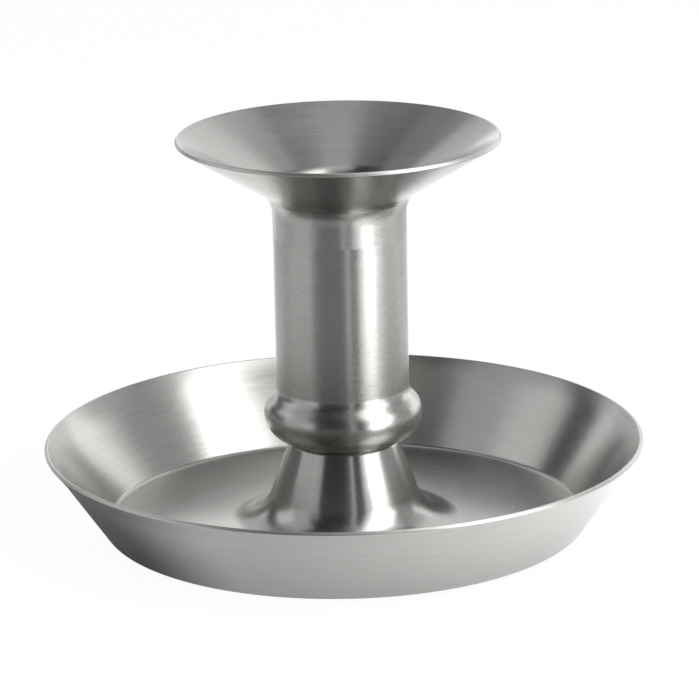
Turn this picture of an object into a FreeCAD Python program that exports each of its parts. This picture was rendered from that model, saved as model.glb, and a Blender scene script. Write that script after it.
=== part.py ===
import FreeCAD, Part
import math
import os

# Chamberstick of brushed steel: a drip pan drawn up into a hollow foot, a spun stem with a bead, and a wax funnel.
# Sizes are in millimetres and degrees. +Z runs up the stem's axis, and Z is zero where the pads stand.
# Each spun piece is one sheet. Its bends are given by their inside radius, on the hollow side of the bend.

# Sheet metal
sheet = 0.8
lip_rounding = 0.25

# Candle
candle_diameter = 22.0
candle_clearance = 0.35

# Drip pan
pan_diameter = 110.0
pan_height = 16.2
pan_wall_angle = 34.2
pan_rim_angle = 40.0
pan_rim_length = 3.0
pan_rim_bend = 26.0
pan_floor_bend = 1.3

# Hollow foot, drawn up from the pan's floor
foot_height = 16.1
foot_top_radius = 9.8
foot_side_angle = 20.1
foot_top_bend = 0.5
foot_flare_bend = 8.0

# Stem tube and its bead
stem_joint_height = 38.6
bead_overhang = 2.35
bead_base_radius = 9.65
bead_base_bend = 0.8
bead_underside_rise = 1.05
bead_bowl_bend = 4.2
bead_belt_bend = 3.05
bead_shoulder_angle = 42.3
bead_neck_bend = 3.0
stem_hole_radius = 5.5

# Wax funnel
funnel_diameter = 59.0
funnel_top_height = 56.8
funnel_cone_angle = 58.7
funnel_neck_bend = 5.6

# Candle seat, a cup that stands upside down in the bead
seat_sheet = 0.6
seat_bend = 0.6
seat_clearance = 0.05
seat_drop = 0.5

# Screw joint between foot and stem
screw_diameter = 5.0
screw_length = 10.0
screw_tip_chamfer = 0.5
screw_hole_clearance = 0.25
thread_clearance = 0.05
screw_head_diameter = 9.5
screw_head_height = 2.75
screw_head_rounding = 2.2
hex_key_size = 3.0
hex_key_depth = 1.6
nut_flange_radius = 8.8
nut_flange_thickness = 1.5
nut_hub_radius = 4.8
nut_height = 6.0
washer_diameter = 15.0
washer_thickness = 1.2
lock_washer_diameter = 9.2
lock_washer_thickness = 1.3
lock_washer_gap = 0.8
lock_washer_skew = 25.0

# Pads under the pan
pad_diameter = 10.0
pad_thickness = 0.6
pad_inset = 3.5
pad_names = ["pad_front", "pad_rear_right", "pad_rear_left"]
pad_first_angle = -90.0

# Shared helper values
overrun = 1.0
point_tolerance = 1e-6

# Heights and radii that several pieces meet at
bore_radius = candle_diameter / 2 + candle_clearance
tube_radius = bore_radius + sheet
pan_underside = pad_thickness
floor_top = pan_underside + sheet
foot_top = pan_underside + foot_height
stem_base = foot_top
stem_joint = stem_base + stem_joint_height
funnel_top = stem_base + funnel_top_height
screw_hole_radius = screw_diameter / 2 + screw_hole_clearance
foot_top_underside = foot_top - sheet
screw_seat = foot_top_underside - washer_thickness - lock_washer_thickness
turn = 360.0

AXIS_POINT = FreeCAD.Vector(0, 0, 0)
AXIS = FreeCAD.Vector(0, 0, 1)


def at(radius, height):
    """Point of a half section, given by its distance from the axis and its height."""
    return FreeCAD.Vector(radius, 0, height)


def slope(angle):
    """Direction that leans outwards from straight up by an angle in degrees."""
    return at(math.sin(math.radians(angle)), math.cos(math.radians(angle)))


def direction(start, end):
    """Unit direction from one point to the next."""
    return (end - start).normalize()


def right_of(heading):
    """Unit direction to the right of a heading in the half section."""
    return at(heading.z, -heading.x)


def shifted(corners, distance):
    """Corners of the parallel line that lies to the right of an open line."""
    sides = [right_of(direction(a, b)) for a, b in zip(corners, corners[1:])]
    moved = [corners[0] + sides[0] * distance]
    for corner, before, after in zip(corners[1:], sides, sides[1:]):
        moved.append(corner + (before + after) * (distance / (1 + before.dot(after))))
    moved.append(corners[-1] + sides[-1] * distance)
    return moved


def turns_left(before, corner, after):
    """True where an open line turns left at a corner."""
    return right_of(direction(before, corner)).dot(direction(corner, after)) < 0


def rounded_outline(corners, radii):
    """Closed face whose corners are rounded. A radius that is too large for its sides is cut down to fit them."""
    count = len(corners)
    following = corners[1:] + corners[:1]
    backwards = [direction(corner, corners[i - 1]) for i, corner in enumerate(corners)]
    forwards = [direction(corner, after) for corner, after in zip(corners, following)]
    half_angles = [back.getAngle(ahead) / 2 for back, ahead in zip(backwards, forwards)]
    reaches = [radius / math.tan(half) for radius, half in zip(radii, half_angles)]
    lengths = [corner.distanceToPoint(after) for corner, after in zip(corners, following)]
    wanted = [max(reaches[i] + reaches[(i + 1) % count], point_tolerance) for i in range(count)]
    room = [min(1, length / reach) for length, reach in zip(lengths, wanted)]
    reaches = [reach * min(room[i - 1], room[i]) for i, reach in enumerate(reaches)]

    starts = [corner + back * reach for corner, back, reach in zip(corners, backwards, reaches)]
    ends = [corner + ahead * reach for corner, ahead, reach in zip(corners, forwards, reaches)]
    edges = []
    for i, corner in enumerate(corners):
        if reaches[i] > point_tolerance:
            half = half_angles[i]
            inwards = (backwards[i] + forwards[i]).normalize()
            middle = corner + inwards * (reaches[i] * (1 / math.cos(half) - math.tan(half)))
            edges.append(Part.Arc(starts[i], middle, ends[i]).toShape())
        if ends[i].distanceToPoint(starts[(i + 1) % count]) > point_tolerance:
            edges.append(Part.LineSegment(ends[i], starts[(i + 1) % count]).toShape())
    return Part.Face(Part.Wire(edges))


def turned(corners, radii):
    """Solid of revolution about the stem's axis."""
    return rounded_outline(corners, radii).revolve(AXIS_POINT, AXIS, turn)


def spun(corners, bends, thickness, first_edge, last_edge):
    """Spun sheet to the right of an open line. Inner corners have inside bend radii, the ends edge radii."""
    near = [first_edge]
    far = [first_edge]
    for before, corner, after, bend in zip(corners, corners[1:], corners[2:], bends):
        left = turns_left(before, corner, after)
        near.append(bend if left else bend + thickness)
        far.append(bend + thickness if left else bend)
    near.append(last_edge)
    far.append(last_edge)
    return turned(corners + shifted(corners, thickness)[::-1], near + far[::-1])


def bend_reach(radius, angle):
    """Length that a bend takes from each of its straight sides, for the angle in degrees that it turns."""
    return radius * math.tan(math.radians(angle) / 2)


def ring(inner_radius, outer_radius, bottom, top):
    """Flat ring about the stem's axis."""
    outer = Part.makeCylinder(outer_radius, top - bottom, at(0, bottom))
    return outer.cut(Part.makeCylinder(inner_radius, top - bottom, at(0, bottom)))


def pan_corners():
    """Upper line of the pan, from the screw hole over the foot and the floor to the rim."""
    rim = at(pan_diameter / 2 - sheet * math.cos(math.radians(pan_rim_angle)), pan_underside + pan_height)
    rim_bend = rim - slope(pan_rim_angle) * pan_rim_length
    wall_run = (rim_bend.z - floor_top) * math.tan(math.radians(pan_wall_angle))
    foot_run = (foot_top - floor_top) * math.tan(math.radians(foot_side_angle))
    return [
        at(screw_hole_radius, foot_top),
        at(foot_top_radius, foot_top),
        at(foot_top_radius + foot_run, floor_top),
        at(rim_bend.x - wall_run, floor_top),
        rim_bend,
        rim,
    ]


def make_drip_pan():
    """Pan and hollow foot in one sheet."""
    bends = [foot_top_bend, foot_flare_bend, pan_floor_bend, pan_rim_bend]
    return spun(pan_corners(), bends, sheet, 0, lip_rounding)


def bowl_centre():
    """Centre of the bend below the bead's belt, at the height of the bead's widest circle."""
    bead_radius = tube_radius + bead_overhang
    bowl_corner = at(bead_radius, stem_base + bead_underside_rise)
    underside = direction(at(bead_base_radius, stem_base), bowl_corner)
    bowl_radius = bead_bowl_bend + sheet
    reach = bend_reach(bowl_radius, math.degrees(underside.getAngle(AXIS)))
    return bowl_corner + at(-bowl_radius, reach)


def stem_corners():
    """Outer line of the stem, from its joint with the funnel down over the bead to the hole in its base."""
    bead_radius = tube_radius + bead_overhang
    belt_reach = bend_reach(bead_belt_bend + sheet, bead_shoulder_angle)
    belt_height = bowl_centre().z + belt_reach
    shoulder_rise = bead_overhang / math.tan(math.radians(bead_shoulder_angle))
    return [
        at(tube_radius, stem_joint),
        at(tube_radius, belt_height + shoulder_rise),
        at(bead_radius, belt_height),
        at(bead_radius, stem_base + bead_underside_rise),
        at(bead_base_radius, stem_base),
        at(stem_hole_radius, stem_base),
    ]


def make_stem_tube():
    """Tube and bead in one sheet."""
    bends = [bead_neck_bend, bead_belt_bend, bead_bowl_bend, bead_base_bend]
    return spun(stem_corners(), bends, sheet, 0, 0)


def funnel_corners():
    """Outer line of the funnel, from its rim to the joint with the tube."""
    rim_edge_drop = sheet * math.sin(math.radians(funnel_cone_angle))
    rim = at(funnel_diameter / 2, funnel_top - rim_edge_drop)
    cone_rise = (rim.x - tube_radius) / math.tan(math.radians(funnel_cone_angle))
    return [rim, at(tube_radius, rim.z - cone_rise), at(tube_radius, stem_joint)]


def make_wax_funnel():
    """Cone and neck in one sheet."""
    return spun(funnel_corners(), [funnel_neck_bend], sheet, lip_rounding, 0)


def make_candle_seat():
    """Pressed cup over the nut, standing in the bowl of the bead. Its top is the seat, just below the bore."""
    bore_end = stem_corners()[1].z + bend_reach(bead_neck_bend, bead_shoulder_angle)
    seat_top = bore_end - seat_drop
    seat_radius = bore_radius - seat_clearance
    centre = bowl_centre()
    seat_foot = centre.z - math.sqrt(bead_bowl_bend ** 2 - (seat_radius - centre.x) ** 2)
    corners = [at(0, seat_top), at(seat_radius, seat_top), at(seat_radius, seat_foot)]
    return spun(corners, [seat_bend], seat_sheet, 0, 0)


def make_stem_nut():
    """Flanged nut on the inside of the stem's base."""
    hole_radius = screw_diameter / 2 + thread_clearance
    bottom = stem_base + sheet
    flange = ring(hole_radius, nut_flange_radius, bottom, bottom + nut_flange_thickness)
    hub = ring(hole_radius, nut_hub_radius, bottom, bottom + nut_height)
    return flange.fuse(hub).removeSplitter()


def make_fixing_screw():
    """Button head screw with a hexagon socket, its head downwards."""
    head_radius = screw_head_diameter / 2
    shank_radius = screw_diameter / 2
    head_bottom = screw_seat - screw_head_height
    tip = screw_seat + screw_length
    corners = [
        at(0, head_bottom),
        at(head_radius, head_bottom),
        at(head_radius, screw_seat),
        at(shank_radius, screw_seat),
        at(shank_radius, tip - screw_tip_chamfer),
        at(shank_radius - screw_tip_chamfer, tip),
        at(0, tip),
    ]
    body = turned(corners, [0, screw_head_rounding, 0, 0, 0, 0, 0])
    sides = 6
    corner_radius = hex_key_size / 2 / math.cos(math.pi / sides)
    below = FreeCAD.Vector(0, 0, head_bottom - overrun)
    points = []
    for i in range(sides + 1):
        angle = 2 * math.pi * i / sides
        points.append(below + FreeCAD.Vector(math.cos(angle), math.sin(angle), 0) * corner_radius)
    socket = Part.Face(Part.makePolygon(points)).extrude(AXIS * (overrun + hex_key_depth))
    return body.cut(socket)


def make_plain_washer():
    """Flat washer under the foot's top."""
    top = foot_top_underside
    return ring(screw_hole_radius, washer_diameter / 2, top - washer_thickness, top)


def make_lock_washer():
    """Split spring washer between the screw's head and the flat washer, pressed flat."""
    outer_radius = lock_washer_diameter / 2
    washer = ring(screw_hole_radius, outer_radius, screw_seat, screw_seat + lock_washer_thickness)
    slit = Part.makeBox(outer_radius + overrun, lock_washer_gap, lock_washer_thickness + overrun + overrun)
    slit.translate(FreeCAD.Vector(0, -lock_washer_gap / 2, screw_seat - overrun))
    middle = FreeCAD.Vector(0, 0, screw_seat + lock_washer_thickness / 2)
    slit.rotate(middle, FreeCAD.Vector(1, 0, 0), lock_washer_skew)
    return washer.cut(slit)


def make_pad(number):
    """Thin round pad under the edge of the pan's floor, one of an even circle of pads that starts at the front."""
    floor_radius = pan_corners()[3].x
    circle_radius = floor_radius - pad_inset - pad_diameter / 2
    angle = math.radians(pad_first_angle + turn * number / len(pad_names))
    centre = FreeCAD.Vector(math.cos(angle), math.sin(angle), 0) * circle_radius
    return Part.makeCylinder(pad_diameter / 2, pad_thickness, centre)


pieces = {
    "drip_pan": make_drip_pan(),
    "stem_tube": make_stem_tube(),
    "wax_funnel": make_wax_funnel(),
    "candle_seat": make_candle_seat(),
    "stem_nut": make_stem_nut(),
    "fixing_screw": make_fixing_screw(),
    "plain_washer": make_plain_washer(),
    "lock_washer": make_lock_washer(),
}
for number, name in enumerate(pad_names):
    pieces[name] = make_pad(number)

os.makedirs("parts", exist_ok=True)
for name, shape in pieces.items():
    shape.exportStep(os.path.join("parts", name + ".step"))
    box = shape.optimalBoundingBox(False, False)
    print(name, "solids", len(shape.Solids), "valid", shape.isValid(), "volume", round(shape.Volume, 1),
          "radius", round(box.XMax, 2), "heights", round(box.ZMin, 2), round(box.ZMax, 2))
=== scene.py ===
import math

import bpy
from bpy.props import FloatProperty, FloatVectorProperty, IntProperty, PointerProperty
from bpy.types import Operator, Panel, PropertyGroup
from mathutils import Matrix, Vector


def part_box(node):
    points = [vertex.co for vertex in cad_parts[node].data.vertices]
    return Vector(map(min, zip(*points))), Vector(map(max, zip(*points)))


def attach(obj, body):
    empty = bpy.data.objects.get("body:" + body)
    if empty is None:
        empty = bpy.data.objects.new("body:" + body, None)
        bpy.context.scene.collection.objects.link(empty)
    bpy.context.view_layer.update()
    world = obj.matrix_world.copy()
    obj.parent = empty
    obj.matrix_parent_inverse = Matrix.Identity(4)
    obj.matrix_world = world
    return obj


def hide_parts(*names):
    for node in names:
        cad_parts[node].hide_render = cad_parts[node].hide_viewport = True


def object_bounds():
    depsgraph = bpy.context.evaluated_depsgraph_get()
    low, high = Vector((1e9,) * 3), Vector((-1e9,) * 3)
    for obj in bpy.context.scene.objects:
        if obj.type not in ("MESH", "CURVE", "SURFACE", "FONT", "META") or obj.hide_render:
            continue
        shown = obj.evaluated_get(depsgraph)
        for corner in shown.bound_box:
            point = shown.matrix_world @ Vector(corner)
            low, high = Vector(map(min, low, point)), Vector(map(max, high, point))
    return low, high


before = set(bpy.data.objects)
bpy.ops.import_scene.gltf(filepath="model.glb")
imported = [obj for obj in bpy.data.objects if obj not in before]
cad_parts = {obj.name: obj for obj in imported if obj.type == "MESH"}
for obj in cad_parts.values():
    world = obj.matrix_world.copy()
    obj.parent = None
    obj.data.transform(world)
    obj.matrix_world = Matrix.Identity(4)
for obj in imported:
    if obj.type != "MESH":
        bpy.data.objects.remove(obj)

bl_info = {
    "name": "Brushed Steel Chamberstick",
    "version": (1, 0, 0),
    "blender": (4, 5, 0),
    "location": "View3D > Sidebar > Chamberstick",
    "description": "Builds a spun steel chamberstick over its frame, with finishes and a small studio",
    "category": "Object",
}

# Units and directions
MM = 0.001
ORIGIN = Vector((0, 0, 0))
UP = Vector((0, 0, 1))
ALONG_Y = Vector((0, 1, 0))

# Places read from the frame
BODY = "root"
CAD_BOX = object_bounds()
PAN_LOW, PAN_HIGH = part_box("drip_pan")
STEM_LOW, STEM_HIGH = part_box("stem_tube")
FUNNEL_LOW, FUNNEL_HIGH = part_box("wax_funnel")
SEAT_LOW, SEAT_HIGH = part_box("candle_seat")
PAD_NODES = sorted(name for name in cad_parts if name.startswith("pad_"))

# Modelling steps
LIP_STEPS = 4
SHARP_ANGLE = math.radians(40)
WELD_DISTANCE = MM / 1000
PICK_DISTANCE = MM / 100

# Node sockets that have no name of their own
MIX_FIRST = 6
MIX_SECOND = 7
MIX_RESULT = 2

# Brushed steel
ACROSS_THE_LINES = 0.25
AXIS_SOFTNESS = 0.01 * MM
LINE_DETAIL = 1.0
LINE_ROUGHNESS = 0.6
COARSE_PITCH = 5
COARSE_LENGTH = 3
COARSE_HEIGHT = 0.3
HANDLING_SIZE = 14 * MM
HANDLING_DETAIL = 3.0
TONE_SHARES = (0.6, 0.2, 0.2)
TONE_RANGE = (0.3, 0.7)
ROUGHNESS_SWINGS = (0.12, 0.06, 0.04)

# Plated steel
PLATED_ROUGHNESS = 0.27
PLATED_BRIGHTNESS = 1.16
PLATED_CLOUD_SIZE = 4 * MM
PLATED_CLOUD_DETAIL = 2.0
PLATED_CLOUD_SWING = 0.1
MARK_DETAIL = 2.0
MARK_SWING = 0.14
MARK_STRENGTH = 0.6
MARK_DEPTH = 0.004 * MM
SEAT_MARK_PITCH = 0.3 * MM
FASTENER_MARK_PITCH = 0.12 * MM

# Pad rubber
RUBBER = (0.022, 0.022, 0.023)
RUBBER_DUST = (0.06, 0.058, 0.055)
RUBBER_ROUGHNESS = 0.72
RUBBER_DETAIL = 3.0
DUST_SIZE = 3 * MM
DUST_RANGE = (0.35, 0.75)
PORE_SIZE = 0.25 * MM
PORE_SWING = 0.2
PORE_STRENGTH = 0.7
PORE_DEPTH = 0.03 * MM

# Floor, surroundings and camera
WHITE = (1.0, 1.0, 1.0)
FLOOR_PAPER = (0.9, 0.9, 0.9)
FLOOR_PLAINNESS = 0.96
SKY_ON_MATT_FACES = 0.6
SENSOR_WIDTH = 36
CAMERA_REACH = 20

# Cards about the object
DOME_RADIUS = 0.5
CARD_STEP = math.radians(6)
CARD_HEIGHT = 0.2 * MM

# Cards of the dome: name, azimuths and elevations in degrees, level
WALL_REFLECTORS = (
    ("front_left_wall", (-42, 2), (-2, 60), 0.05),
    ("front_gap_wall", (2, 12), (-2, 60), 0.12),
    ("front_line_wall", (12, 17), (-2, 45), 0.9),
    ("front_right_wall", (17, 33), (-2, 60), 0.04),
    ("key_edge_low_wall", (33, 40), (-2, 14), 1.4),
    ("key_strip_wall", (40, 60), (-2, 12), 9.0),
    ("key_edge_wall", (34, 44), (12, 45), 1.0),
    ("key_side_low_wall", (60, 74), (-2, 12), 2.8),
    ("key_low_wall", (44, 74), (12, 22), 2.8),
    ("key_middle_wall", (44, 84), (22, 45), 3.2),
    ("key_high_wall", (42, 91), (45, 62), 3.2),
    ("key_roof", (46, 92), (62, 80), 2.6),
    ("right_low_wall", (74, 118), (-2, 22), 0.5),
    ("right_wall", (84, 118), (22, 45), 0.45),
    ("right_high_wall", (91, 118), (45, 60), 0.72),
    ("right_rear_low_wall", (118, 150), (-2, 22), 1.6),
    ("right_rear_wall", (118, 138), (22, 45), 0.6),
    ("right_gap_wall", (118, 146), (45, 60), 0.07),
    ("right_gap_roof", (94, 152), (60, 80), 0.1),
    ("left_front_low_wall", (-58, -42), (-2, 20), 0.9),
    ("left_front_wall", (-58, -42), (20, 40), 0.35),
    ("left_front_high_wall", (-62, -42), (40, 60), 0.03),
    ("left_low_wall", (-94, -58), (-2, 20), 0.65),
    ("left_side_low_wall", (-119, -94), (-2, 20), 0.12),
    ("left_wall", (-88, -58), (20, 40), 0.6),
    ("left_side_wall", (-119, -88), (20, 40), 0.95),
    ("left_high_wall", (-118, -62), (40, 60), 0.55),
    ("left_gap_wall", (-137, -120), (-2, 40), 0.09),
    ("left_gap_high_wall", (-138, -118), (40, 60), 0.2),
    ("left_rear_low_wall", (-170, -148), (-2, 20), 0.65),
    ("left_rear_wall", (-170, -137), (20, 40), 0.68),
    ("left_rear_high_wall", (-158, -138), (40, 60), 0.27),
    ("left_roof", (-148, -30), (60, 80), 0.04),
    ("front_roof", (-30, 0), (60, 80), 0.12),
    ("front_middle_roof", (0, 18), (60, 80), 0.3),
    ("front_right_roof", (18, 40), (60, 80), 0.6),
    ("rear_high_wall", (160, 202), (40, 60), 0.55),
    ("rear_wall", (177, 190), (-2, 40), 1.4),
    ("rear_right_roof", (152, 180), (60, 80), 0.44),
    ("rear_left_roof", (180, 212), (60, 80), 0.48),
    ("middle_roof", (0, 360), (80, 90), 0.85),
)

# Glowing cards on the floor, seen in gloss alone: painted light and shade of the floor in the metal's
# reflections, some brighter than white paper. Name, azimuths in degrees, radii in millimetres, level
PAINTED_FLOOR_LIGHT_AND_SHADE = (
    ("rear_floor", (162, 198), (120, 200), 1.35),
    ("rear_middle_floor", (157, 203), (75, 120), 1.35),
    ("left_rear_floor", (-150, -118), (120, 500), 0.68),
    ("left_side_floor", (-118, -50), (120, 500), 0.64),
    ("left_far_floor", (-50, 8), (120, 500), 0.31),
    ("front_far_floor", (8, 15), (120, 500), 0.85),
    ("front_right_floor", (15, 28), (120, 500), 0.36),
    ("right_far_floor", (32, 62), (120, 500), 1.4),
    ("right_side_floor", (62, 118), (120, 500), 1.0),
    ("right_rear_floor", (118, 150), (120, 500), 0.78),
    ("left_middle_floor", (-118, -50), (75, 120), 0.7),
    ("front_left_middle_floor", (-50, 8), (75, 120), 0.42),
    ("front_middle_floor", (8, 15), (75, 120), 0.85),
    ("front_right_middle_floor", (15, 30), (75, 120), 0.42),
    ("right_middle_floor", (30, 62), (75, 120), 1.85),
    ("right_side_middle_floor", (62, 82), (75, 120), 0.75),
    ("right_back_middle_floor", (82, 118), (75, 120), 0.38),
)

# Floor close round the pan, glowing in gloss alone, with painted shade: darker near the pan and on its
# left, where the pan's shadow would fall. Radii in millimetres, levels, then start, end and gain of
# each grade
NEAR_RADII = (30, 75)
NEAR_DARK = 0.08
NEAR_SHARE = 0.74
OUTWARD_TURN = (44 * MM, 57 * MM, 0.22)
INNER_LIFT = (40 * MM, 48 * MM, 0.06)
OUTER_GAIN = (40 * MM, 58 * MM, 0.34)
LEFT_RISE = (-0.85, -0.35, 0.58)
RIGHT_RISE = (-25 * MM, 62 * MM, 0.62)


# Settings that a user would change
class SheetSettings(PropertyGroup):
    """Sheet metal that all three spun pieces share."""

    thickness: FloatProperty(
        name="Sheet thickness", description="Thickness of the spun sheet",
        default=0.8 * MM, unit="LENGTH")
    lip_rounding: FloatProperty(
        name="Lip rounding", description="Rounding of the open rims' edges",
        default=0.25 * MM, unit="LENGTH")
    steps_round: IntProperty(
        name="Steps round", description="Faces in one turn about the axis", default=288, min=24)
    bend_step: FloatProperty(
        name="Bend step", description="Largest turn of one face in a bend",
        default=math.radians(4.0), subtype="ANGLE")


class PanSettings(PropertyGroup):
    """Drip pan with the hollow foot that is drawn up from its floor."""

    wall_angle: FloatProperty(
        name="Wall angle", description="Lean of the wall from straight up",
        default=math.radians(34.2), subtype="ANGLE")
    rim_angle: FloatProperty(
        name="Rim angle", description="Lean of the rim from straight up",
        default=math.radians(40.0), subtype="ANGLE")
    rim_length: FloatProperty(
        name="Rim length", description="Length of the flared rim", default=3.0 * MM, unit="LENGTH")
    rim_bend: FloatProperty(
        name="Rim bend", description="Inside radius of the bend below the rim",
        default=26.0 * MM, unit="LENGTH")
    floor_bend: FloatProperty(
        name="Floor bend", description="Inside radius where wall and floor meet",
        default=1.3 * MM, unit="LENGTH")
    foot_top_radius: FloatProperty(
        name="Foot top radius", description="Radius of the foot's flat top",
        default=9.8 * MM, unit="LENGTH")
    foot_side_angle: FloatProperty(
        name="Foot side angle", description="Lean of the foot's side from straight up",
        default=math.radians(20.1), subtype="ANGLE")
    foot_top_bend: FloatProperty(
        name="Foot top bend", description="Inside radius of the foot's top edge",
        default=0.5 * MM, unit="LENGTH")
    foot_flare_bend: FloatProperty(
        name="Foot flare", description="Inside radius of the flare into the floor",
        default=8.0 * MM, unit="LENGTH")
    screw_hole: FloatProperty(
        name="Screw hole", description="Radius of the hole for the screw",
        default=2.75 * MM, unit="LENGTH")


class StemSettings(PropertyGroup):
    """Stem tube with its bead."""

    tube_radius: FloatProperty(
        name="Tube radius", description="Outer radius of the tube",
        default=12.15 * MM, unit="LENGTH")
    bead_base_radius: FloatProperty(
        name="Bead base radius", description="Radius of the flat under the bead",
        default=9.65 * MM, unit="LENGTH")
    bead_base_bend: FloatProperty(
        name="Bead base bend", description="Inside radius at the edge of that flat",
        default=0.8 * MM, unit="LENGTH")
    underside_rise: FloatProperty(
        name="Underside rise", description="Rise of the bead's underside to its belt",
        default=1.05 * MM, unit="LENGTH")
    bowl_bend: FloatProperty(
        name="Bowl bend", description="Inside radius below the belt",
        default=4.2 * MM, unit="LENGTH")
    belt_bend: FloatProperty(
        name="Belt bend", description="Inside radius above the belt",
        default=3.05 * MM, unit="LENGTH")
    shoulder_angle: FloatProperty(
        name="Shoulder angle", description="Lean of the bead's shoulder from straight up",
        default=math.radians(42.3), subtype="ANGLE")
    neck_bend: FloatProperty(
        name="Neck bend", description="Inside radius where the shoulder meets the tube",
        default=3.0 * MM, unit="LENGTH")
    base_hole: FloatProperty(
        name="Base hole", description="Radius of the hole in the stem's base",
        default=5.5 * MM, unit="LENGTH")


class FunnelSettings(PropertyGroup):
    """Wax funnel with its neck, and the candle seat in the bore."""

    cone_angle: FloatProperty(
        name="Cone angle", description="Lean of the cone from straight up",
        default=math.radians(58.7), subtype="ANGLE")
    neck_bend: FloatProperty(
        name="Neck bend", description="Inside radius between cone and neck",
        default=5.6 * MM, unit="LENGTH")
    seat_sheet: FloatProperty(
        name="Seat sheet", description="Thickness of the candle seat",
        default=0.6 * MM, unit="LENGTH")
    seat_bend: FloatProperty(
        name="Seat bend", description="Inside radius of the seat's edge",
        default=0.6 * MM, unit="LENGTH")


class FinishSettings(PropertyGroup):
    """Brushed steel and its marks of use."""

    steel: FloatVectorProperty(
        name="Steel", description="Colour of the brushed steel", default=(0.50, 0.493, 0.478),
        subtype="COLOR", min=0, max=1)
    # Bare edge colour: partly worn bare metal, partly a painted highlight that lightens the lips.
    bare_edge_and_highlight: FloatVectorProperty(
        name="Bare edge", description="Colour of the polished rims", default=(0.72, 0.715, 0.70),
        subtype="COLOR", min=0, max=1)
    roughness: FloatProperty(
        name="Roughness", description="Roughness of the brushed steel", default=0.29, min=0, max=1)
    anisotropy: FloatProperty(
        name="Anisotropy", description="How far the brush lines stretch a highlight",
        default=0.72, min=0, max=1)
    brush_pitch: FloatProperty(
        name="Brush pitch", description="Distance between brush lines",
        default=0.24 * MM, unit="LENGTH")
    brush_streaks: FloatProperty(
        name="Brush streaks", description="Brush lines one after the other in one radian",
        default=8.0, min=0)
    neck_slant: FloatProperty(
        name="Neck slant", description="Lean of the brush lines on the funnel's neck",
        default=math.radians(20.0), subtype="ANGLE")
    neck_lean: FloatProperty(
        name="Neck lean", description="Twice the turn of the ground neck's long side from the front",
        default=math.radians(46.0), subtype="ANGLE")
    neck_oval: FloatProperty(
        name="Neck oval", description="How far the grinding leaves the neck out of round",
        default=0.42 * MM, unit="LENGTH")
    # The band at the rims is worn metal and a painted highlight in one.
    edge_width: FloatProperty(
        name="Edge width", description="Reach of the polish at the rims",
        default=0.5 * MM, unit="LENGTH")
    brush_contrast: FloatProperty(
        name="Brush contrast", description="How far the brush lines differ in brightness",
        default=0.12, min=0, max=1)
    stem_brushing: FloatProperty(
        name="Stem brushing", description="Strength of the brush lines on stem and neck",
        default=0.65, min=0, max=1)
    pan_brushing: FloatProperty(
        name="Pan brushing", description="Strength of the brush lines on the pan",
        default=0.4, min=0, max=1)
    cone_brushing: FloatProperty(
        name="Cone brushing", description="Strength of the brush lines on the funnel's cone",
        default=0.5, min=0, max=1)
    smooth_roughness: FloatProperty(
        name="Smooth roughness", description="Roughness of the drip pan and the funnel's cone",
        default=0.24, min=0, max=1)
    edge_roughness: FloatProperty(
        name="Edge roughness", description="Roughness of the rims", default=0.5, min=0, max=1)
    brush_depth: FloatProperty(
        name="Brush depth", description="Depth of the brush lines",
        default=0.0013 * MM, unit="LENGTH")


class StudioSettings(PropertyGroup):
    """Camera, floor and lamp."""

    view_elevation: FloatProperty(
        name="View elevation", description="Camera's height angle over the pan's rim",
        default=math.radians(17.4503), subtype="ANGLE")
    view_distance: FloatProperty(
        name="View distance", description="Camera's distance from the pan's rim centre",
        default=716.6 * MM, unit="LENGTH")
    view_pan: FloatProperty(
        name="View pan", description="Turn of the camera off the axis",
        default=math.radians(0.1088), subtype="ANGLE")
    view_tilt: FloatProperty(
        name="View tilt", description="Tilt of the camera above the pan's rim centre",
        default=math.radians(1.2686), subtype="ANGLE")
    view_roll: FloatProperty(
        name="View roll", description="Roll of the camera about its own line of sight",
        default=math.radians(1.1107), subtype="ANGLE")
    lens: FloatProperty(
        name="Lens", description="Focal length in millimetres, for a sensor 36 mm wide",
        default=200.79, min=1)
    floor_size: FloatProperty(
        name="Floor size", description="Width of the square floor", default=6.0, unit="LENGTH")
    lamp_azimuth: FloatProperty(
        name="Lamp azimuth", description="Turn of the lamp from the front to the right",
        default=math.radians(50), subtype="ANGLE")
    lamp_elevation: FloatProperty(
        name="Lamp elevation", description="Height angle of the lamp",
        default=math.radians(50), subtype="ANGLE")
    lamp_size: FloatProperty(
        name="Lamp size", description="Width of the square lamp", default=0.5, unit="LENGTH")
    lamp_distance: FloatProperty(
        name="Lamp distance", description="Distance of the lamp from the origin",
        default=0.7, unit="LENGTH")
    lamp_power: FloatProperty(
        name="Lamp power", description="Power of the lamp", default=6.0, unit="POWER")


# Half section drawing
def at(radius, height):
    """Point of a half section, by its distance from the axis and its height."""
    return Vector((radius, 0, height))


def slope(angle):
    """Direction that leans outwards from straight up."""
    return at(math.sin(angle), math.cos(angle))


def turn_between(before, corner, after):
    """Signed turn at a corner of a half section, positive to the right."""
    first = (corner - before).normalized()
    second = (after - corner).normalized()
    return math.atan2(first.cross(second).y, first.dot(second))


def bend_reach(radius, angle):
    """Distance from a corner to where its bend starts."""
    return radius * math.tan(angle / 2)


def far_side(point, along, thickness):
    """Point across the sheet from a point on a line that runs along a direction."""
    return point - along.cross(ALONG_Y).normalized() * thickness


def deselect_all():
    """Leaves nothing selected, in object mode."""
    if bpy.context.object and bpy.context.object.mode != "OBJECT":
        bpy.ops.object.mode_set(mode="OBJECT")
    bpy.ops.object.select_all(action="DESELECT")


def select_only(piece):
    """Selects one piece and makes it the active one."""
    deselect_all()
    piece.select_set(True)
    bpy.context.view_layer.objects.active = piece


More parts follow.
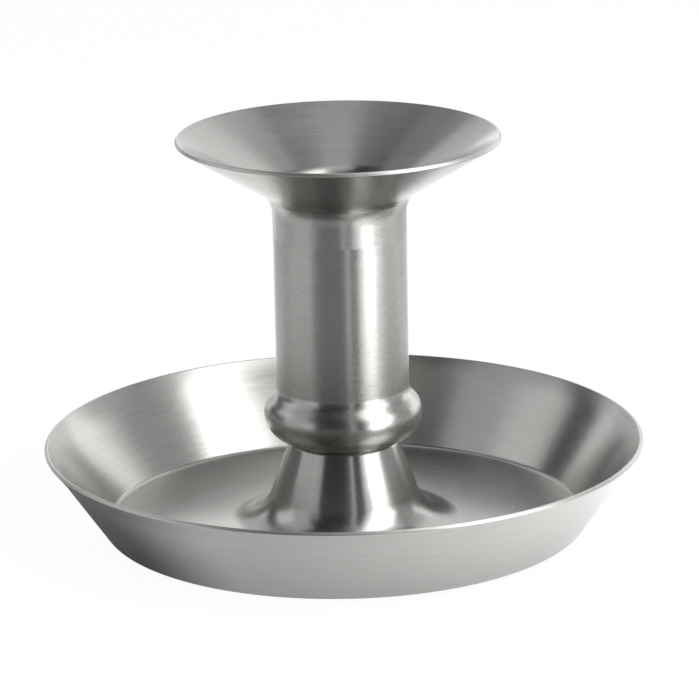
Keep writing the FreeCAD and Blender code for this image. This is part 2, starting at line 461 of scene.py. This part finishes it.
def draw_section(name, corners, radii, bend_step):
    """Wire of a half section. Each inner corner is an arc of its radius, spun from one point."""
    deselect_all()
    bpy.ops.mesh.primitive_plane_add(size=MM, location=corners[0])
    piece = bpy.context.object
    piece.name = name
    bpy.ops.object.transform_apply(location=True, rotation=True, scale=True)
    bpy.ops.object.mode_set(mode="EDIT")
    bpy.ops.mesh.select_all(action="SELECT")
    bpy.ops.mesh.merge(type="CENTER")
    pen = corners[0].copy()
    for before, corner, after, radius in zip(corners, corners[1:], corners[2:], radii):
        turn = turn_between(before, corner, after)
        reach = bend_reach(radius, abs(turn))
        heading = (corner - before).normalized()
        start = corner - heading * reach
        bpy.ops.mesh.extrude_region_move(TRANSFORM_OT_translate={"value": start - pen})
        pen = start
        if radius > 0:
            side = math.copysign(1, turn)
            centre = start + ALONG_Y.cross(heading) * radius * side
            steps = max(2, math.ceil(abs(turn) / bend_step))
            bpy.ops.mesh.spin(steps=steps, angle=-turn, center=centre, axis=ALONG_Y)
            pen = corner + (after - corner).normalized() * reach
    bpy.ops.mesh.extrude_region_move(TRANSFORM_OT_translate={"value": corners[-1] - pen})
    return piece


def spin_round(steps):
    """Spins the section in edit mode once round the axis and closes its seam."""
    bpy.ops.mesh.select_all(action="SELECT")
    bpy.ops.mesh.spin(steps=steps, angle=math.tau, center=ORIGIN, axis=UP)
    bpy.ops.mesh.select_all(action="SELECT")
    bpy.ops.mesh.remove_doubles(threshold=WELD_DISTANCE)
    bpy.ops.mesh.select_all(action="SELECT")
    bpy.ops.mesh.normals_make_consistent(inside=False)
    bpy.ops.object.mode_set(mode="OBJECT")


def face_the_line(piece, start, end):
    """Turns the sheet's faces so that they look to the left of the line from start to end."""
    wanted = (end - start).cross(ALONG_Y).normalized()
    middle = (start + end) / 2
    nearest = min(piece.data.polygons, key=lambda face: (face.center - middle).length)
    if nearest.normal.dot(wanted) < 0:
        bpy.ops.object.mode_set(mode="EDIT")
        bpy.ops.mesh.select_all(action="SELECT")
        bpy.ops.mesh.flip_normals()
        bpy.ops.object.mode_set(mode="OBJECT")


def give_thickness(piece, thickness):
    """Thickens the sheet on the far side of its faces."""
    bpy.ops.object.modifier_add(type="SOLIDIFY")
    solidify = piece.modifiers[-1]
    solidify.thickness = thickness
    solidify.offset = -1
    solidify.use_even_offset = True
    bpy.ops.object.modifier_apply(modifier=solidify.name)


def bevel_circle(piece, point, width):
    """Rounds the circle of edges that goes through a point of the half section."""
    for vertex in piece.data.vertices:
        off_radius = math.hypot(vertex.co.x, vertex.co.y) - point.x
        off_height = vertex.co.z - point.z
        vertex.select = abs(off_radius) < PICK_DISTANCE and abs(off_height) < PICK_DISTANCE
    chosen = {vertex.index for vertex in piece.data.vertices if vertex.select}
    if not chosen:
        raise RuntimeError(f"{piece.name} has no circle at {tuple(point)}")
    for edge in piece.data.edges:
        edge.select = edge.vertices[0] in chosen and edge.vertices[1] in chosen
    for face in piece.data.polygons:
        face.select = False
    bpy.ops.object.mode_set(mode="EDIT")
    bpy.ops.mesh.select_mode(type="EDGE")
    bpy.ops.mesh.bevel(offset=width, segments=LIP_STEPS, profile=0.5, affect="EDGES")
    bpy.ops.mesh.select_mode(type="VERT")
    bpy.ops.object.mode_set(mode="OBJECT")


def finish_surface(piece):
    """Smooths the bends, keeps the true flats and the sharp edges."""
    select_only(piece)
    bpy.ops.object.shade_smooth_by_angle(angle=SHARP_ANGLE)
    bpy.ops.object.modifier_add(type="WEIGHTED_NORMAL")
    weighted = piece.modifiers[-1]
    weighted.keep_sharp = True
    bpy.ops.object.modifier_apply(modifier=weighted.name)


def spun_sheet(name, corners, bends, thickness, sheet):
    """Spun sheet to the right of a line of corners, each inner corner with its inside bend radius."""
    radii = []
    for before, corner, after, bend in zip(corners, corners[1:], corners[2:], bends):
        radii.append(bend if turn_between(before, corner, after) < 0 else bend + thickness)
    piece = draw_section(name, corners, radii, sheet.bend_step)
    spin_round(sheet.steps_round)
    face_the_line(piece, corners[0], corners[1])
    give_thickness(piece, thickness)
    return piece


# Shader sheets
class Field:
    """A value on a shader sheet that Python arithmetic builds on."""

    def __init__(self, sheet, socket):
        self.sheet = sheet
        self.socket = socket

    def maths(self, operation, first, second=0.0):
        return self.sheet.node("ShaderNodeMath", {"operation": operation}, {0: first, 1: second})

    def __add__(self, other):
        return self.maths("ADD", self, other)

    def __radd__(self, other):
        return self.maths("ADD", other, self)

    def __sub__(self, other):
        return self.maths("SUBTRACT", self, other)

    def __rsub__(self, other):
        return self.maths("SUBTRACT", other, self)

    def __mul__(self, other):
        return self.maths("MULTIPLY", self, other)

    def __rmul__(self, other):
        return self.maths("MULTIPLY", other, self)

    def __truediv__(self, other):
        return self.maths("DIVIDE", self, other)

    def __rtruediv__(self, other):
        return self.maths("DIVIDE", other, self)

    def larger(self, other):
        return self.maths("MAXIMUM", self, other)

    def root(self):
        return self.maths("SQRT", self)

    def fade(self, start, end):
        """Smooth step from 0 at start to 1 at end."""
        return self.sheet.node("ShaderNodeMapRange", {"interpolation_type": "SMOOTHSTEP"}, {
            "Value": self, "From Min": start, "From Max": end,
        })

    def grade(self, start, end, gain):
        """Smooth step from 0 at start to a gain at end."""
        return self.fade(start, end) * gain

    def swing(self, reach):
        """Noise about 0, up to half a reach to either side."""
        return (self - 0.5) * reach


class ShaderSheet:
    """Node tree of a material or world, filled through one method."""

    def __init__(self, tree):
        self.tree = tree
        tree.nodes.clear()

    def node(self, kind, settings=None, inputs=None, output=0):
        """Adds a node, sets it up, then fills its sockets with values or links."""
        made = self.tree.nodes.new(kind)
        for name, value in (settings or {}).items():
            setattr(made, name, value)
        for key, value in (inputs or {}).items():
            if isinstance(value, Field):
                self.tree.links.new(value.socket, made.inputs[key])
            else:
                made.inputs[key].default_value = value
        if not made.outputs:
            return made
        return Field(self, made.outputs[output])


def new_sheet(name):
    """Fresh material and its shader sheet."""
    material = bpy.data.materials.new(name)
    material.use_nodes = True
    return material, ShaderSheet(material.node_tree)


def split_place(sheet):
    """Object coordinates as x, y, z."""
    place = sheet.node("ShaderNodeTexCoord", output="Object")
    split = sheet.node("ShaderNodeSeparateXYZ", {}, {"Vector": place})
    return [Field(sheet, split.socket.node.outputs[axis]) for axis in "XYZ"]


def turned_noise(sheet, pitch, streaks, detail, slant=0.0):
    """Noise that runs in rings about the axis: fine across the brush lines, long along them."""
    x, y, z = split_place(sheet)
    radius = (x * x + y * y + AXIS_SOFTNESS ** 2).root()
    if slant:
        z = z + x * math.tan(slant)
    ring = sheet.node("ShaderNodeCombineXYZ", {}, {
        "X": x / radius * streaks, "Y": y / radius * streaks, "Z": z / pitch,
    })
    return sheet.node("ShaderNodeTexNoise", {"noise_dimensions": "4D"}, {
        "Vector": ring, "W": radius / pitch,
        "Scale": 1.0, "Detail": detail, "Roughness": LINE_ROUGHNESS,
    })


def cloud_noise(sheet, size, detail):
    """Soft blotches of one size in all directions."""
    place = sheet.node("ShaderNodeTexCoord", output="Object")
    return sheet.node("ShaderNodeTexNoise", {}, {
        "Vector": place, "Scale": 1 / size, "Detail": detail, "Roughness": 0.5,
    })


def mix_colour(sheet, factor, first, second):
    """Blend of two colours."""
    inputs = {"Factor": factor, MIX_FIRST: first, MIX_SECOND: second}
    return sheet.node("ShaderNodeMix", {"data_type": "RGBA"}, inputs, MIX_RESULT)


def rim_mask(sheet, circles, width):
    """1 on the given circles about the axis, falling to 0 at a distance."""
    x, y, z = split_place(sheet)
    radius = (x * x + y * y).root()
    mask = None
    for circle in circles:
        out = radius - circle.x
        rise = z - circle.z
        near = (out * out + rise * rise).root().fade(width, width / 3)
        mask = near if mask is None else mask.larger(near)
    return mask


def shade(colour, level=1.0):
    """Opaque colour at a share of its brightness."""
    return (colour[0] * level, colour[1] * level, colour[2] * level, 1.0)


def oval_height(sheet, radius, lean):
    """Height of an oval over its circle, from 1 on its long side to -1 on its short side."""
    x, y, _ = split_place(sheet)
    along = (y * y - x * x) * math.cos(lean) + x * y * (2 * math.sin(lean))
    return along / radius ** 2


def brushed_steel(name, finish, roughness, brushing, rims=(), slant=0.0, oval=None):
    """Steel brushed round the axis or at a slant to it, with clouds of handling and dull rims, worn
    bare and brightened as a painted highlight.
    """
    material, sheet = new_sheet(name)
    pitch, streaks = finish.brush_pitch, finish.brush_streaks
    fine = turned_noise(sheet, pitch, streaks, LINE_DETAIL, slant)
    coarse = turned_noise(sheet, pitch * COARSE_PITCH, streaks / COARSE_LENGTH, LINE_DETAIL, slant)
    clouds = cloud_noise(sheet, HANDLING_SIZE, HANDLING_DETAIL)
    fine_tone, coarse_tone, cloud_tone = TONE_SHARES
    tone = (fine * fine_tone + coarse * coarse_tone + clouds * cloud_tone).fade(*TONE_RANGE)
    contrast = finish.brush_contrast * brushing
    dark, bright = shade(finish.steel, 1 - contrast), shade(finish.steel, 1 + contrast)
    colour = mix_colour(sheet, tone, dark, bright)
    fine_swing, coarse_swing, cloud_swing = ROUGHNESS_SWINGS
    rough = roughness + fine.swing(fine_swing * brushing)
    rough = rough + coarse.swing(coarse_swing * brushing) + clouds.swing(cloud_swing)
    if rims:
        # Painted highlight: the rim band is lighter in colour and rougher, partly worn bare metal,
        # partly a light line painted along the lip.
        worn_and_highlight = rim_mask(sheet, rims, finish.edge_width)
        colour = mix_colour(sheet, worn_and_highlight, colour, shade(finish.bare_edge_and_highlight))
        rough = rough + worn_and_highlight * (finish.edge_roughness - roughness)
    bump = sheet.node("ShaderNodeBump", {}, {
        "Strength": 1.0, "Distance": finish.brush_depth * brushing,
        "Height": fine + coarse * COARSE_HEIGHT,
    })
    if oval:
        radius, lean, depth = oval
        bump = sheet.node("ShaderNodeBump", {}, {
            "Strength": 1.0, "Distance": depth,
            "Height": oval_height(sheet, radius, lean), "Normal": bump,
        })
    surface = sheet.node("ShaderNodeBsdfPrincipled", {}, {
        "Base Color": colour, "Metallic": 1.0, "Roughness": rough, "Normal": bump,
        "Anisotropic": finish.anisotropy, "Anisotropic Rotation": ACROSS_THE_LINES + slant / math.tau,
    })
    sheet.node("ShaderNodeOutputMaterial", {}, {"Surface": surface})
    return material


def plated_steel(name, finish, mark_pitch):
    """Bright steel of the pressed and turned small parts, with faint turning marks."""
    material, sheet = new_sheet(name)
    marks = turned_noise(sheet, mark_pitch, 1.0, MARK_DETAIL)
    clouds = cloud_noise(sheet, PLATED_CLOUD_SIZE, PLATED_CLOUD_DETAIL)
    colour = mix_colour(sheet, clouds, shade(finish.steel), shade(finish.steel, PLATED_BRIGHTNESS))
    rough = PLATED_ROUGHNESS + marks.swing(MARK_SWING) + clouds.swing(PLATED_CLOUD_SWING)
    bump = sheet.node("ShaderNodeBump", {}, {
        "Strength": MARK_STRENGTH, "Distance": MARK_DEPTH, "Height": marks,
    })
    surface = sheet.node("ShaderNodeBsdfPrincipled", {}, {
        "Base Color": colour, "Metallic": 1.0, "Roughness": rough, "Normal": bump,
    })
    sheet.node("ShaderNodeOutputMaterial", {}, {"Surface": surface})
    return material


def pad_rubber(name):
    """Dark grey foam rubber with fine pores and a dusty face."""
    material, sheet = new_sheet(name)
    pores = cloud_noise(sheet, PORE_SIZE, RUBBER_DETAIL)
    dust = cloud_noise(sheet, DUST_SIZE, RUBBER_DETAIL)
    colour = mix_colour(sheet, dust.fade(*DUST_RANGE), shade(RUBBER), shade(RUBBER_DUST))
    bump = sheet.node("ShaderNodeBump", {}, {
        "Strength": PORE_STRENGTH, "Distance": PORE_DEPTH, "Height": pores,
    })
    surface = sheet.node("ShaderNodeBsdfPrincipled", {}, {
        "Base Color": colour, "Roughness": RUBBER_ROUGHNESS + pores.swing(PORE_SWING), "Normal": bump,
    })
    sheet.node("ShaderNodeOutputMaterial", {}, {"Surface": surface})
    return material


def dress(piece, material, slot, *nodes):
    """Gives a finished piece its material and its body, and hides the nodes of the frame that it
    stands for. The slot is not used.
    """
    piece.data.materials.clear()
    piece.data.materials.append(material)
    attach(piece, BODY)
    if nodes:
        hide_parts(*nodes)


def dress_node(name, material):
    """Gives a node of the frame its finished material."""
    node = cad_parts[name]
    node.data.materials.clear()
    node.data.materials.append(material)


# Pieces
def lip_trim(sheet, angle):
    """How far the rounding of a leaning lip draws its corner in."""
    return sheet.lip_rounding * (math.sin(angle) + math.cos(angle) - 1)


def pan_corners(sheet, pan):
    """Upper line of the pan, from the screw hole over the foot and the floor to the rim."""
    foot_top = STEM_LOW.z
    floor_top = PAN_LOW.z + sheet.thickness
    trim = lip_trim(sheet, pan.rim_angle)
    rim = at(PAN_HIGH.x + trim - sheet.thickness * math.cos(pan.rim_angle), PAN_HIGH.z + trim)
    rim_foot = rim - slope(pan.rim_angle) * pan.rim_length
    wall_run = (rim_foot.z - floor_top) * math.tan(pan.wall_angle)
    foot_run = (foot_top - floor_top) * math.tan(pan.foot_side_angle)
    return [
        at(pan.screw_hole, foot_top),
        at(pan.foot_top_radius, foot_top),
        at(pan.foot_top_radius + foot_run, floor_top),
        at(rim_foot.x - wall_run, floor_top),
        rim_foot,
        rim,
    ]


class CHAMBERSTICK_OT_drip_pan(Operator):
    """Spin the drip pan and its hollow foot from one sheet"""

    bl_idname = "chamberstick.drip_pan"
    bl_label = "Drip Pan"

    def execute(self, context):
        sheet = context.scene.chamberstick_sheet
        pan = context.scene.chamberstick_pan
        finish = context.scene.chamberstick_finish
        corners = pan_corners(sheet, pan)
        bends = [pan.foot_top_bend, pan.foot_flare_bend, pan.floor_bend, pan.rim_bend]
        piece = spun_sheet("drip_pan_sheet", corners, bends, sheet.thickness, sheet)
        rim = corners[-1]
        rim_below = far_side(rim, rim - corners[-2], sheet.thickness)
        bevel_circle(piece, rim, sheet.lip_rounding)
        bevel_circle(piece, rim_below, sheet.lip_rounding)
        finish_surface(piece)
        rims = [(rim + rim_below) / 2]
        material = brushed_steel(
            "brushed_pan_steel", finish, finish.smooth_roughness, finish.pan_brushing, rims)
        dress(piece, material, "brushed_steel", "drip_pan")
        return {"FINISHED"}


class CHAMBERSTICK_OT_stem(Operator):
    """Spin the stem tube with its bead"""

    bl_idname = "chamberstick.stem"
    bl_label = "Stem Tube"

    def execute(self, context):
        sheet = context.scene.chamberstick_sheet
        stem = context.scene.chamberstick_stem
        finish = context.scene.chamberstick_finish
        bead_radius = STEM_HIGH.x
        base = STEM_LOW.z
        bowl_corner = at(bead_radius, base + stem.underside_rise)
        underside = bowl_corner - at(stem.bead_base_radius, base)
        bowl_reach = bend_reach(stem.bowl_bend + sheet.thickness, underside.angle(UP))
        belt_reach = bend_reach(stem.belt_bend + sheet.thickness, stem.shoulder_angle)
        belt_height = bowl_corner.z + bowl_reach + belt_reach
        shoulder_rise = (bead_radius - stem.tube_radius) / math.tan(stem.shoulder_angle)
        corners = [
            at(stem.tube_radius, STEM_HIGH.z),
            at(stem.tube_radius, belt_height + shoulder_rise),
            at(bead_radius, belt_height),
            bowl_corner,
            at(stem.bead_base_radius, base),
            at(stem.base_hole, base),
        ]
        bends = [stem.neck_bend, stem.belt_bend, stem.bowl_bend, stem.bead_base_bend]
        piece = spun_sheet("stem_tube_sheet", corners, bends, sheet.thickness, sheet)
        finish_surface(piece)
        material = brushed_steel("brushed_stem_steel", finish, finish.roughness, finish.stem_brushing)
        dress(piece, material, "brushed_steel", "stem_tube")
        return {"FINISHED"}


class CHAMBERSTICK_OT_funnel(Operator):
    """Spin the wax funnel with its neck"""

    bl_idname = "chamberstick.funnel"
    bl_label = "Wax Funnel"

    def execute(self, context):
        sheet = context.scene.chamberstick_sheet
        stem = context.scene.chamberstick_stem
        funnel = context.scene.chamberstick_funnel
        finish = context.scene.chamberstick_finish
        trim = lip_trim(sheet, funnel.cone_angle)
        lip_drop = sheet.thickness * math.sin(funnel.cone_angle)
        rim = at(FUNNEL_HIGH.x + trim, FUNNEL_HIGH.z + trim - lip_drop)
        cone_rise = (rim.x - stem.tube_radius) / math.tan(funnel.cone_angle)
        neck_corner = at(stem.tube_radius, rim.z - cone_rise)
        corners = [rim, neck_corner, at(stem.tube_radius, FUNNEL_LOW.z)]
        piece = spun_sheet("wax_funnel_sheet", corners, [funnel.neck_bend], sheet.thickness, sheet)
        rim_above = far_side(rim, neck_corner - rim, sheet.thickness)
        bevel_circle(piece, rim, sheet.lip_rounding)
        bevel_circle(piece, rim_above, sheet.lip_rounding)
        finish_surface(piece)
        rims = [(rim + rim_above) / 2]
        material = brushed_steel(
            "brushed_funnel_steel", finish, finish.smooth_roughness, finish.cone_brushing, rims)
        dress(piece, material, "brushed_steel", "wax_funnel")
        neck = brushed_steel(
            "brushed_neck_steel", finish, finish.roughness, finish.stem_brushing,
            slant=finish.neck_slant, oval=(stem.tube_radius, finish.neck_lean, finish.neck_oval))
        piece.data.materials.append(neck)
        neck_slot = piece.data.materials.find(neck.name)
        neck_top = neck_corner.z - bend_reach(funnel.neck_bend, funnel.cone_angle)
        ground_top = neck_top + funnel.neck_bend * math.sin(funnel.cone_angle / 2)
        for face in piece.data.polygons:
            outwards = face.normal.x * face.center.x + face.normal.y * face.center.y > 0
            if outwards and face.center.z < ground_top:
                face.material_index = neck_slot
        return {"FINISHED"}


class CHAMBERSTICK_OT_seat(Operator):
    """Press the candle seat"""

    bl_idname = "chamberstick.seat"
    bl_label = "Candle Seat"

    def execute(self, context):
        sheet = context.scene.chamberstick_sheet
        funnel = context.scene.chamberstick_funnel
        finish = context.scene.chamberstick_finish
        corners = [at(0, SEAT_HIGH.z), at(SEAT_HIGH.x, SEAT_HIGH.z), at(SEAT_HIGH.x, SEAT_LOW.z)]
        piece = spun_sheet("candle_seat_cup", corners, [funnel.seat_bend], funnel.seat_sheet, sheet)
        finish_surface(piece)
        material = plated_steel("pressed_seat_steel", finish, SEAT_MARK_PITCH)
        dress(piece, material, "pressed_steel", "candle_seat")
        return {"FINISHED"}


class CHAMBERSTICK_OT_fasteners(Operator):
    """Finish the screw, nut and washers of the foot's joint"""

    bl_idname = "chamberstick.fasteners"
    bl_label = "Fasteners"

    def execute(self, context):
        finish = context.scene.chamberstick_finish
        material = plated_steel("bright_fastener_steel", finish, FASTENER_MARK_PITCH)
        for name in ("fixing_screw", "stem_nut", "plain_washer", "lock_washer"):
            dress_node(name, material)
        return {"FINISHED"}


class CHAMBERSTICK_OT_pads(Operator):
    """Finish the rubber pads under the pan"""

    bl_idname = "chamberstick.pads"
    bl_label = "Pads"

    def execute(self, context):
        material = pad_rubber("foam_pad_rubber")
        for name in PAD_NODES:
            dress_node(name, material)
        return {"FINISHED"}


# Studio
def glow(sheet, level):
    """White glow on a shader sheet, of one level or of one that varies."""
    light = sheet.node("ShaderNodeEmission", {}, {"Color": shade(WHITE), "Strength": level})
    sheet.node("ShaderNodeOutputMaterial", {}, {"Surface": light})


def add_reflector(name, section, azimuths, level):
    """Curved card that shows in gloss alone. Azimuth 0 is in front, positive to the right."""
    first, last = (math.radians(azimuth) for azimuth in azimuths)
    no_bends = [0.0] * (len(section) - 2)
    card = draw_section(name, section, no_bends, CARD_STEP)
    bpy.ops.mesh.select_all(action="SELECT")
    steps = max(2, math.ceil((last - first) / CARD_STEP))
    bpy.ops.mesh.spin(steps=steps, angle=first - last, center=ORIGIN, axis=UP)
    bpy.ops.object.mode_set(mode="OBJECT")
    card.rotation_euler = (0, 0, first - math.pi / 2)
    material, sheet = new_sheet(name + "_paper")
    glow(sheet, level)
    card.data.materials.append(material)
    card.visible_camera = False
    card.visible_diffuse = False
    card.visible_shadow = False
    card.visible_transmission = False
    return card


def add_wall_reflector(name, azimuths, elevations, level):
    """Part of a dome about the object."""
    low, high = (math.radians(elevation) for elevation in elevations)
    steps = max(1, math.ceil((high - low) / CARD_STEP))
    angles = [low + (high - low) * step / steps for step in range(steps + 1)]
    section = [at(math.cos(angle), math.sin(angle)) * DOME_RADIUS for angle in angles]
    return add_reflector(name, section, azimuths, level)


def add_painted_floor_patch(name, azimuths, radii, level):
    """Part of a ring on the floor that glows in gloss alone, as painted light and shade of the floor.
    """
    section = [at(radius * MM, CARD_HEIGHT) for radius in radii]
    return add_reflector(name, section, azimuths, level)


def add_near_floor_painted_shade():
    """Ring close round the pan with painted shade, seen in gloss alone: darker near the pan and on its
    left, brightening softly to the right and outwards.
    """
    card = add_painted_floor_patch("near_floor_painted_shade", (0, 360), NEAR_RADII, NEAR_DARK)
    select_only(card)
    bpy.ops.object.transform_apply(location=False, rotation=True, scale=False)
    sheet = ShaderSheet(card.data.materials[0].node_tree)
    x, y, _ = split_place(sheet)
    radius = (x * x + y * y).root()
    turned = x / radius + radius.grade(*OUTWARD_TURN)
    # Painted shade: the glow is darkest close to the pan and on its left, standing in for the pan's
    # shadow on the floor.
    level = NEAR_DARK + radius.grade(*INNER_LIFT) + turned.grade(*LEFT_RISE) + x.grade(*RIGHT_RISE)
    glow(sheet, level * (NEAR_SHARE + radius.grade(*OUTER_GAIN)))


def plain_to_rays(sheet):
    """1 for the eye, for gloss and for glass, 0 for the light on matt faces."""
    rays = sheet.node("ShaderNodeLightPath").socket.node.outputs
    seen = Field(sheet, rays["Is Camera Ray"])
    glossy = Field(sheet, rays["Is Glossy Ray"])
    through = Field(sheet, rays["Is Transmission Ray"])
    return seen.larger(glossy).larger(through)


def lay_floor(studio):
    """Plain pale floor that keeps the object's shadow."""
    deselect_all()
    bpy.ops.mesh.primitive_plane_add(size=studio.floor_size, location=(0, 0, CAD_BOX[0][2]))
    floor = bpy.context.object
    floor.name = "studio_floor"
    material, sheet = new_sheet("floor_paper")
    plain = plain_to_rays(sheet)
    paper = sheet.node("ShaderNodeBsdfDiffuse", {}, {"Color": shade(FLOOR_PAPER)})
    white = sheet.node("ShaderNodeEmission", {}, {"Color": shade(WHITE), "Strength": 1.0})
    surface = sheet.node("ShaderNodeMixShader", {}, {0: plain * FLOOR_PLAINNESS, 1: paper, 2: white})
    sheet.node("ShaderNodeOutputMaterial", {}, {"Surface": surface})
    floor.data.materials.append(material)


def light_world():
    """Even white surroundings, plain to the eye and to gloss, softer on matt faces."""
    world = bpy.data.worlds.new("studio_world")
    bpy.context.scene.world = world
    world.use_nodes = True
    sheet = ShaderSheet(world.node_tree)
    plain = plain_to_rays(sheet)
    strength = plain + (1 - plain) * SKY_ON_MATT_FACES
    surface = sheet.node("ShaderNodeBackground", {}, {"Color": shade(WHITE), "Strength": strength})
    sheet.node("ShaderNodeOutputWorld", {}, {"Surface": surface})


def add_key_lamp(studio):
    """Soft square lamp that faces the object and stays out of its gloss."""
    deselect_all()
    spot = Vector((
        math.sin(studio.lamp_azimuth) * math.cos(studio.lamp_elevation),
        -math.cos(studio.lamp_azimuth) * math.cos(studio.lamp_elevation),
        math.sin(studio.lamp_elevation),
    )) * studio.lamp_distance
    bpy.ops.object.light_add(type="AREA", location=spot)
    lamp = bpy.context.object
    lamp.name = "key_softbox"
    lamp.rotation_euler = spot.to_track_quat("Z", "Y").to_euler()
    lamp.data.shape = "SQUARE"
    lamp.data.size = studio.lamp_size
    lamp.data.energy = studio.lamp_power
    lamp.visible_glossy = False


def place_camera(studio):
    """Camera that looks at the pan's rim from the photograph's angle and is turned a little off it."""
    facing = Matrix.Rotation(math.pi / 2 - studio.view_elevation, 4, "X")
    panned = facing @ Matrix.Rotation(-studio.view_pan, 4, "Y")
    tilted = panned @ Matrix.Rotation(studio.view_tilt, 4, "X")
    rolled = tilted @ Matrix.Rotation(-studio.view_roll, 4, "Z")
    spot = Vector((0, 0, PAN_HIGH.z)) + facing.to_3x3() @ UP * studio.view_distance
    deselect_all()
    bpy.ops.object.camera_add()
    camera = bpy.context.object
    camera.matrix_world = Matrix.Translation(spot) @ rolled
    camera.data.sensor_fit = "HORIZONTAL"
    camera.data.sensor_width = SENSOR_WIDTH
    camera.data.lens = studio.lens
    camera.data.clip_end = CAMERA_REACH
    bpy.context.scene.camera = camera


class CHAMBERSTICK_OT_studio(Operator):
    """Set up the floor, cards, lamp and camera"""

    bl_idname = "chamberstick.studio"
    bl_label = "Studio"

    def execute(self, context):
        studio = context.scene.chamberstick_studio
        lay_floor(studio)
        light_world()
        for name, azimuths, elevations, level in WALL_REFLECTORS:
            add_wall_reflector(name, azimuths, elevations, level)
        for name, azimuths, radii, level in PAINTED_FLOOR_LIGHT_AND_SHADE:
            add_painted_floor_patch(name, azimuths, radii, level)
        add_near_floor_painted_shade()
        add_key_lamp(studio)
        bpy.context.scene.view_settings.view_transform = "Standard"
        place_camera(studio)
        return {"FINISHED"}


class CHAMBERSTICK_PT_build(Panel):
    """Buttons that build the chamberstick piece by piece"""

    bl_label = "Chamberstick"
    bl_idname = "CHAMBERSTICK_PT_build"
    bl_space_type = "VIEW_3D"
    bl_region_type = "UI"
    bl_category = "Chamberstick"

    def draw(self, context):
        for step in BUILD_STEPS:
            self.layout.operator(step.bl_idname)


BUILD_STEPS = (
    CHAMBERSTICK_OT_drip_pan,
    CHAMBERSTICK_OT_stem,
    CHAMBERSTICK_OT_funnel,
    CHAMBERSTICK_OT_seat,
    CHAMBERSTICK_OT_fasteners,
    CHAMBERSTICK_OT_pads,
    CHAMBERSTICK_OT_studio,
)
SETTINGS = {
    "chamberstick_sheet": SheetSettings,
    "chamberstick_pan": PanSettings,
    "chamberstick_stem": StemSettings,
    "chamberstick_funnel": FunnelSettings,
    "chamberstick_finish": FinishSettings,
    "chamberstick_studio": StudioSettings,
}


def register():
    for name, group in SETTINGS.items():
        bpy.utils.register_class(group)
        setattr(bpy.types.Scene, name, PointerProperty(type=group))
    for step in BUILD_STEPS:
        bpy.utils.register_class(step)
    bpy.utils.register_class(CHAMBERSTICK_PT_build)


def unregister():
    bpy.utils.unregister_class(CHAMBERSTICK_PT_build)
    for step in reversed(BUILD_STEPS):
        bpy.utils.unregister_class(step)
    for name, group in SETTINGS.items():
        delattr(bpy.types.Scene, name)
        bpy.utils.unregister_class(group)


def plain(box):
    """Corners of a box as lists of numbers."""
    return [[float(value) for value in corner] for corner in box]


def main():
    register()
    bpy.ops.chamberstick.drip_pan()
    bpy.ops.chamberstick.stem()
    bpy.ops.chamberstick.funnel()
    bpy.ops.chamberstick.seat()
    bpy.ops.chamberstick.fasteners()
    bpy.ops.chamberstick.pads()
    bpy.ops.chamberstick.studio()


if __name__ == "__main__":
    main()
